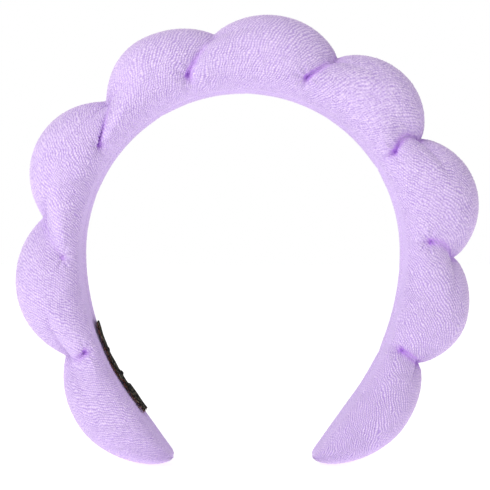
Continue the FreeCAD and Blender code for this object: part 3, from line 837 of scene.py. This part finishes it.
CLOTH_SPACING = 0.285
CLOTH_ROUND = 384
CLOTH_THICKNESS = 1.7
LINING_SPACING = 2.2
FILLING_INSET = 2.8
FILLING_SPACING = 1.6
FILLING_ROUND = 96
EROSION_STEPS = 16
THINNEST = 0.35
HOOP_GAP = 0.15
SLOT_SQUARENESS = 1.5
TUNNEL_SPACING = 4.0
SEAM_DEPTH = 1.0
SEAM_WIDTH = 0.9
TIP_END = TIP_START + TIP_LENGTH
# The share of the pile that is sunk in the smooth cloth.
PILE_SUNK = 0.4
# The inner face is worn: from this far along the band to that, the pile is pressed down over
# a growing share of the width, to a share of its height.
WORN_SPAN = [60, 120]
WORN_WIDTH = [0.15, 0.5]
WORN_EDGE = 0.12
WORN_PILE = 0.5


def worn_down(points, stations, inset):
    """The same grid, sunk by inset into the band wherever it is, without crossing itself."""
    u, lift = [values.reshape(points.shape[:2]) for values in along(points.reshape(-1, 3))]
    y = points[..., 1]
    bottom, top, _ = envelope(stations)
    centre = (bottom + (top - bottom) * WIDEST)[:, None]
    reach = np.hypot(y, lift - centre)
    steps = np.arange(-inset, inset + 1e-6, 2 * inset / EROSION_STEPS)
    sunk = np.full(reach.shape, np.inf)
    for step in steps:
        places = np.interp(stations + step, stations, np.arange(len(stations)))
        low = np.floor(places).astype(int)
        high = np.minimum(low + 1, len(stations) - 1)
        share = (places - low)[:, None]
        beside = reach[low] * (1 - share) + reach[high] * share
        sunk = np.minimum(sunk, beside - math.sqrt(max(inset ** 2 - step ** 2, 0)))
    keep = np.maximum(sunk, THINNEST) / np.maximum(reach, THINNEST)
    return place(u, centre + (lift - centre) * keep, y * keep)


def steps_between(low, high, spacing):
    """Even steps from low to high, about a spacing apart."""
    return np.linspace(low, high, max(2, round((high - low) / spacing) + 1))


def inset_rings(grid, stations, ending, low, high, inset, spacing):
    """A grid's rings read at even steps along a piece, up to an inset from the end of a nose."""
    low = low + inset if ending == "left_nose" else low
    high = high - inset if ending == "right_nose" else high
    chosen = steps_between(low, high, spacing)
    return cubic(grid, np.interp(chosen, stations, np.arange(len(stations))), closed=False)


def cover_spans():
    """Name ending, notch or None, and span of u of each piece: from one puff's middle to the
    next, and the two noses."""
    spans = [(notch, notch, PUFF_U[i], PUFF_U[i + 1]) for i, notch in enumerate(NOTCHES)]
    noses = [("left_nose", None, -TIP_END, -TIP_START), ("right_nose", None, TIP_START, TIP_END)]
    return spans + noses


def join_to_bodies(piece, ending, notch, layer):
    """Puts a piece of a layer (cover, foam) in place of its bodies' CAD solids and hides them; a nose
    piece moves with its tip body.
    """
    if notch is None:
        tip = ending.replace("nose", "tip")
        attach(piece, tip)
        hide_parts(f"{layer}_{tip}")
    else:
        bend(piece, notch)
        _, joint = hinge(f"{notch}_flex")
        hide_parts(f"{layer}_{joint['parent']}", f"{layer}_{joint['child']}")


def smooth_cloth(sim_stations, offsets):
    """Stations of the fine grid, its points before the pile is added, and its folds."""
    stations = np.unique(np.concatenate([band_stations(CLOTH_SPACING), PUFF_U]))
    across, up, length = section(CLOTH_ROUND)
    points, fold = cloth(stations[:, None], across[None], up[None], length[None])
    if offsets is not None:
        points = points + spread(offsets, sim_stations, stations, CLOTH_ROUND)
    seam = np.minimum(length, length.max() - length)[None]
    dip = SEAM_DEPTH * np.exp(-(seam / SEAM_WIDTH) ** 2)
    return stations, points - normals(points) * dip[..., None], fold


def worn_flat(stations, across, up):
    """1 where the pile stands and less on the inner face, more widely towards the tips."""
    edge = np.interp(np.abs(stations), WORN_SPAN, WORN_WIDTH)[:, None]
    standing = np.clip((np.abs(across)[None] - edge) / WORN_EDGE, 0, 1)
    return np.where(up[None] < 0, WORN_PILE + (1 - WORN_PILE) * standing, 1.0)


def make_cover(material, stations, smooth, fold):
    """Terry pieces with looped pile outside and a plain lining inside."""
    across, up, length = section(CLOTH_ROUND)
    height = pile(stations, across, up, length)
    flat = worn_flat(stations, across, up)
    raised = PILE_HEIGHT * (height * flat - PILE_SUNK)
    outer = smooth + normals(smooth) * raised[..., None]
    outer_normals = normals(outer)
    lining = worn_down(smooth, stations, CLOTH_THICKNESS)
    for ending, notch, low, high in cover_spans():
        first, last = np.searchsorted(stations, [low - 1e-6, high - 1e-6])
        part = slice(first, last + 1)
        span = ending, low, high
        inner = inset_rings(lining, stations, *span, CLOTH_THICKNESS, LINING_SPACING)
        piece = make_shell("terry", ending, outer[part], inner, outer_normals[part])
        zeros = np.zeros(inner.shape[:2])
        for name, values in (("pile", height), ("worn", flat), ("fold", fold)):
            add_values(piece, name, np.concatenate([values[part], zeros]))
        finish_piece(piece, material)
        join_to_bodies(piece, ending, notch, "cover")


def hoop_tunnel(stations, count):
    """A flat slot round the hoop, as a grid."""
    points = node_points("hoop_crown")
    lift = along(points)[1]
    middle = (lift.max() + lift.min()) / 2
    half_high = (lift.max() - lift.min()) / 2 + HOOP_GAP
    half_wide = np.abs(points[:, 1]).max() + HOOP_GAP
    across, up, _ = section(count)
    wide = np.clip(across * SLOT_SQUARENESS, -1, 1) * half_wide
    high = np.clip(up * SLOT_SQUARENESS, -1, 1) * half_high
    return place(stations[:, None], middle + high[None], wide[None])


def make_filling(material, stations, smooth):
    """Foam pieces that fill the cover and leave a slot for the hoop."""
    sunk = worn_down(smooth, stations, FILLING_INSET)
    places = np.arange(FILLING_ROUND) * (CLOTH_ROUND / FILLING_ROUND)
    sunk = cubic(sunk.swapaxes(0, 1), places, closed=True).swapaxes(0, 1)
    hoop_end = np.abs(along(node_points("hoop_left_tip"))[0]).max() + HOOP_GAP
    for ending, notch, low, high in cover_spans():
        span = ending, low, high
        outer = inset_rings(sunk, stations, *span, FILLING_INSET, FILLING_SPACING)
        slot_low, slot_high = max(low, -hoop_end), min(high, hoop_end)
        inner = hoop_tunnel(steps_between(slot_low, slot_high, TUNNEL_SPACING), FILLING_ROUND)
        piece = make_shell("filling", ending, outer, inner)
        finish_piece(piece, material)
        join_to_bodies(piece, ending, notch, "foam")


# --- threads

TUFT_THREAD_RADIUS = 0.36
TUFT_THREAD_SINK = 0.3
TUFT_PASS_LIFT = 9.0
TUFT_PASS_STEPS = 22
SEAM_THREAD_RADIUS = 0.3
SEAM_STITCH_PITCH = 6.24
SEAM_STITCH_HALF = 1.5
SEAM_STITCH_SLANT = 0.35
SEAM_STITCH_LIFT = 0.75
SEAM_STITCH_RISE = 0.5
SEAM_END_MARGIN = 4.0
TIP_STITCH_LIFTS = (1.3, 2.3, 3.3)
TIP_STITCH_HALF = 1.9
TIP_STITCH_INSET = 0.1
TIP_STITCH_BOW = 0.9


def forward(u):
    """The band's direction at u, clockwise."""
    ahead, behind = place(u + 0.05, MID_LIFT, 0.0), place(u - 0.05, MID_LIFT, 0.0)
    return unit(ahead - behind)


def make_tuft_threads(material):
    """At each notch a thread that runs down both creases and back through the foam."""
    across, up, length = section(160)
    for index, notch in enumerate(NOTCHES):
        line_u, run = crease_line(index, across, up)
        on_crease = run <= 1.0
        u, a, b, w = line_u[on_crease], across[on_crease], up[on_crease], length[on_crease]
        path, _ = cloth(u, a, b, w)
        inward = unit(path - place(u, envelope(u)[1] * WIDEST, 0.0))
        path = path - inward * TUFT_THREAD_SINK
        start, end = path[-1], path[0]
        through = np.linspace(0, 1, TUFT_PASS_STEPS)[1:-1, None]
        inside = start * (1 - through) + end * through
        u_in, lift_in = along(inside)
        rise = np.sin(math.pi * through[:, 0]) ** 0.5
        lift_in = lift_in + (TUFT_PASS_LIFT - lift_in) * rise
        inside = place(u_in, lift_in, inside[:, 1])
        piece = make_threads(
            f"tuft_thread_{notch}", [np.concatenate([path, inside])], TUFT_THREAD_RADIUS,
            [forward(NOTCH_U[index])], closed=True,
        )
        finish_piece(piece, material)
        bend(piece, notch)
        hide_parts(f"tuft_loop_{notch}")


def seam_stitch(u):
    """A stitch across the seam's valley, sunk into the cloth at both ends."""
    share = np.linspace(-1, 1, 9)
    lift = SEAM_STITCH_LIFT + SEAM_STITCH_RISE * np.abs(share) ** 2.2
    return place(u + SEAM_STITCH_SLANT * share, lift, share * SEAM_STITCH_HALF)


def make_seam_threads(material):
    """Stitches that close the seam along the inner face."""
    first = math.ceil((-TIP_END + SEAM_END_MARGIN) / SEAM_STITCH_PITCH)
    spots = np.arange(first, -first + 1) * SEAM_STITCH_PITCH
    for ending, notch, low, high in cover_spans():
        chosen = spots[(spots >= low) & (spots < high)]
        paths = [seam_stitch(u) for u in chosen]
        piece = make_threads(
            f"seam_thread_{ending}", paths, SEAM_THREAD_RADIUS, [forward(u) for u in chosen], sides=8
        )
        finish_piece(piece, material)
        join_to_bodies(piece, ending, notch, "seam_stitches")


def make_tip_threads(material):
    """Stitches that draw each tip's end together."""
    for side, sign in (("left", -1), ("right", 1)):
        paths = []
        for lift in TIP_STITCH_LIFTS:
            share = np.linspace(-1, 1, 9)
            end = TIP_END - TIP_STITCH_INSET - TIP_STITCH_BOW * np.abs(share) ** 2
            paths.append(place(sign * end, lift, share * TIP_STITCH_HALF))
        upward = unit(place(sign * TIP_END, 5.0, 0.0) - place(sign * TIP_END, 0.0, 0.0))
        references = [upward] * len(paths)
        piece = make_threads(f"tip_thread_{side}", paths, SEAM_THREAD_RADIUS, references, sides=8)
        finish_piece(piece, material)
        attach(piece, f"{side}_tip")
        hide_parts(f"tip_closure_stitches_{side}")


# --- label

LABEL_SEWN = node_points("label_sewn")
LABEL_TOP = np.abs(along(LABEL_SEWN)[0]).min()
LABEL_FOLD = np.abs(along(LABEL_SEWN)[0]).max()
LABEL_END = np.abs(along(node_points("label_flap"))[0]).max()
LABEL_HALF_WIDTH = np.ptp(LABEL_SEWN[:, 1]) / 2
LABEL_FRONT = LABEL_SEWN[:, 1].min()
LABEL_THICKNESS = 0.4
LABEL_RINGS = 170
LABEL_COLUMNS = 40
WEAVE_RELIEF = 0.05
RIPPLE = 0.125
STITCH_ROWS = (0.31, 0.585)
STITCH_PLACES = (-0.69, -0.23, 0.23, 0.69)
STITCH_HALF = 0.028
STITCH_RISE = 0.15
STITCH_DIP = 0.75
LABEL_THREAD_RADIUS = 0.2
# The span round the label's fold: from this far above it to that far below it.
BEND_ABOVE = 2.0
BEND_BELOW = 3.0
# Loose fibres: how many, how thick and how long, how they scatter and curl, and which way they
# point at the label's end and at its edge.
FRAYS = 220
FRAY_RADIUS = 0.1
FRAY_LENGTHS = (0.3, 0.9)
FRAY_SCATTER = 0.6
FRAY_CURL = 0.5
WAY_AT_END = np.array([0.3, -1.0, -1.0])
WAY_AT_EDGE = np.array([-0.6, -1.0, 0.2])
# Along the label from its top (0) to its loose end (1): how far its front edge stands off the
# band, how far its face turns towards the front, in degrees, and how closely it follows the
# round of the inner face.
LABEL_KEYS = np.array([0.0, 0.12, 0.3, 0.5, 0.6, 0.66, 0.74, 1.0])
LABEL_STAND_OFF = np.array([0.3, 0.2, 0.2, 0.3, 0.4, 0.1, 0.6, 0.7])
LABEL_TWIST = np.array([-4.0, -3.2, -2.0, -0.5, 1.2, -4.5, 1.8, 1.0])
LABEL_FOLLOW = np.array([1.0, 1.0, 1.0, 1.0, 0.8, 1.0, 0.6, 0.9])


def inner_face_lift(u, y):
    """Lift of the band's inner face at depth y."""
    bottom, top, half_depth = envelope(u)
    share = np.clip(np.abs(y) / half_depth, 0, 0.95)
    return (top - bottom) * WIDEST * (1 - (1 - share ** (2 / INNER_POWER)) ** (INNER_POWER / 2))


def label_point(share, across, off):
    """A point of the label: share along it, across from front to back edge, off its face."""
    u = -(LABEL_TOP + (LABEL_END - LABEL_TOP) * share)
    twist = np.radians(joined(share, LABEL_KEYS, LABEL_TWIST))
    gap = joined(share, LABEL_KEYS, LABEL_STAND_OFF)
    follow = joined(share, LABEL_KEYS, LABEL_FOLLOW)
    ripple = RIPPLE * np.sin(9.0 * share + 2.2 * across) * np.sin(23.0 * share)
    sideways = (across + 1) * LABEL_HALF_WIDTH
    lifted = np.where(twist < 0, 2 * LABEL_HALF_WIDTH * np.sin(-twist), 0.0)
    lift = -gap - lifted - sideways * np.sin(twist) - ripple - off * np.cos(twist)
    y = LABEL_FRONT + sideways * np.cos(twist) - off * np.sin(twist)
    return place(u, lift + follow * inner_face_lift(u, y), y)


def bend_label(piece):
    """Works out the span round the label's fold and bakes the piece's place into its mesh."""
    fold = -LABEL_FOLD
    start = place(fold + BEND_ABOVE, 0.0, 0.0) * MM
    end = place(fold - BEND_BELOW, 0.0, 0.0) * MM
    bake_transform(piece)


def make_label(material):
    """One woven strip, sewn on above and loose below."""
    share = np.linspace(0, 1, LABEL_RINGS)[:, None]
    across = np.linspace(-1, 1, LABEL_COLUMNS)[None]
    weft = np.cos(math.pi * np.arange(LABEL_COLUMNS))[None]
    weave = WEAVE_RELIEF * weft * np.cos(math.pi * np.arange(LABEL_RINGS))[:, None]
    near = label_point(share, across, 0.0)
    far = label_point(share, across[:, ::-1], LABEL_THICKNESS + weave[:, ::-1])
    grid = np.concatenate([near, far], axis=1)
    count = grid.shape[1]
    last = (LABEL_RINGS - 1) * count
    faces = [ring_faces(LABEL_RINGS, count), zipper(0, count), zipper(last, count, inside_out=True)]
    piece = new_mesh("woven_label", grid.reshape(-1, 3), np.concatenate(faces))
    finish_piece(piece, material)
    bend_label(piece)
    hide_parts("label_sewn", "label_flap")


def make_label_threads(material):
    """Two rows of short stitches that hold the label's upper part."""
    paths, references = [], []
    for share in STITCH_ROWS:
        for across in STITCH_PLACES:
            turn = np.linspace(-1, 1, 9)
            off = LABEL_THICKNESS + STITCH_RISE - STITCH_DIP * turn ** 4
            paths.append(label_point(share + STITCH_HALF * turn, across + 0 * turn, off))
            references.append(np.array([0.0, 1.0, 0.0]))
    piece = make_threads("label_thread", paths, LABEL_THREAD_RADIUS, references, sides=8)
    finish_piece(piece, material)
    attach(piece, "left_tip")
    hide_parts("label_stitches")


def make_frays(material):
    """Loose fibres along the label's front edge and its free end."""
    random = np.random.default_rng(7)
    paths, references = [], []
    for number in range(FRAYS):
        at_end = number % 6 == 0
        share = 1.0 if at_end else random.uniform(0.02, 1.0)
        across = random.uniform(-1, 1) if at_end else -1.0
        root = label_point(share, across, random.uniform(0.0, LABEL_THICKNESS))
        reach = random.uniform(*FRAY_LENGTHS)
        way = random.normal(0, FRAY_SCATTER, 3) + (WAY_AT_END if at_end else WAY_AT_EDGE)
        curl = random.normal(0, FRAY_CURL, 3)
        along_fibre = np.linspace(0, 1, 5)[:, None]
        paths.append(root + reach * (unit(way) * along_fibre + curl * along_fibre ** 2 * 0.5))
        references.append(unit(random.normal(0, 1, 3)))
    piece = make_threads("label_frays", paths, FRAY_RADIUS, references, sides=4)
    finish_piece(piece, material)
    bend_label(piece)


# --- stage

# Strength of the white surroundings as light and as the camera sees them.
WORLD_LIGHT = 0.52
WORLD_SEEN = 1.0
FLOOR_HALF = 4000.0
FLOOR_GLOW = 0.6
# Soft lights: place in metres, watts and width.
LIGHTS = {
    "key": ((-0.36, -0.42, 0.42), 2.05, 0.35),
    "fill": ((-0.35, -0.8, 0.0), 0.7, 0.8),
}
# The camera's distance in front of the band, its place beside the band's origin and above it,
# and the width that it sees at that distance, in metres.
CAMERA_DISTANCE = 0.42
CAMERA_ASIDE = 0.0008
CAMERA_ABOVE = 0.002
VIEW_WIDTH = 0.1913
SENSOR_MM = 36.0


def studio_world():
    """White all round: bright where the camera looks past the band, dimmer as light."""
    world = bpy.data.worlds.new("studio")
    world.use_nodes = True
    tree = world.node_tree
    light_path = tree.nodes.new("ShaderNodeLightPath")
    strength = tree.nodes.new("ShaderNodeMapRange")
    strength.inputs["To Min"].default_value = WORLD_LIGHT
    strength.inputs["To Max"].default_value = WORLD_SEEN
    tree.links.new(light_path.outputs["Is Camera Ray"], strength.inputs["Value"])
    background = tree.nodes["Background"]
    background.inputs["Color"].default_value = (1.0, 1.0, 1.0, 1.0)
    tree.links.new(strength.outputs["Result"], background.inputs["Strength"])
    return world


def make_floor():
    """A pale floor that the band's tips stand on."""
    low = CAD_BOX[0].z / MM
    ways = ((-1, -1), (1, -1), (1, 1), (-1, 1))
    corners = np.array([[a * FLOOR_HALF, b * FLOOR_HALF, low] for a, b in ways])
    floor = new_mesh("floor", corners, [[0, 1, 2, 3]])
    nodes = Nodes("pale_floor", 0.8)
    nodes.shade(Base_Color=nodes.mix(nodes.noise(6.0), linear(246, 246, 248), linear(252, 252, 252)))
    nodes.shade(Emission_Color=(1.0, 1.0, 1.0, 1.0), Emission_Strength=FLOOR_GLOW)
    floor.data.materials.append(nodes.material)


def make_lights():
    """Soft studio light from the surroundings and from two wide lamps."""
    scene = bpy.context.scene
    scene.world = studio_world()
    scene.view_settings.view_transform = "Standard"
    for name, (spot, power, width) in LIGHTS.items():
        light = bpy.data.lights.new(name, "AREA")
        light.energy = power
        light.size = width
        lamp = bpy.data.objects.new(name, light)
        lamp.location = spot
        lamp.rotation_euler = (-lamp.location).to_track_quat("-Z", "Y").to_euler()
        scene.collection.objects.link(lamp)


def make_camera():
    """The camera, straight in front of the band and close to it."""
    camera = bpy.data.cameras.new("camera")
    camera.sensor_width = SENSOR_MM
    camera.lens = camera.sensor_width * CAMERA_DISTANCE / VIEW_WIDTH
    camera.clip_start = 0.02
    holder = bpy.data.objects.new("camera", camera)
    holder.location = (CAMERA_ASIDE, -CAMERA_DISTANCE, CAMERA_ABOVE)
    holder.rotation_euler = (math.pi / 2, 0, 0)
    bpy.context.scene.collection.objects.link(holder)
    bpy.context.scene.camera = holder


# --- assembly

sim_stations, offsets = relaxed_offsets()
stations, smooth, fold = smooth_cloth(sim_stations, offsets)
make_cover(terry_material(), stations, smooth, fold)
make_filling(foam_material(), stations, smooth)
lilac = thread_material("lilac_thread", linear(178, 148, 212), linear(214, 190, 236))
black = thread_material("black_thread", linear(12, 10, 10), linear(46, 40, 38))
make_tuft_threads(lilac)
make_seam_threads(lilac)
make_tip_threads(lilac)
make_label(label_material())
make_label_threads(black)
make_frays(thread_material("brown_fibres", linear(64, 32, 24), linear(150, 92, 74)))
plastic = hoop_material()
for puff in PUFFS:
    finish_piece(frame["nodes"][f"hoop_{puff}"], plastic)
make_floor()
make_lights()
make_camera()
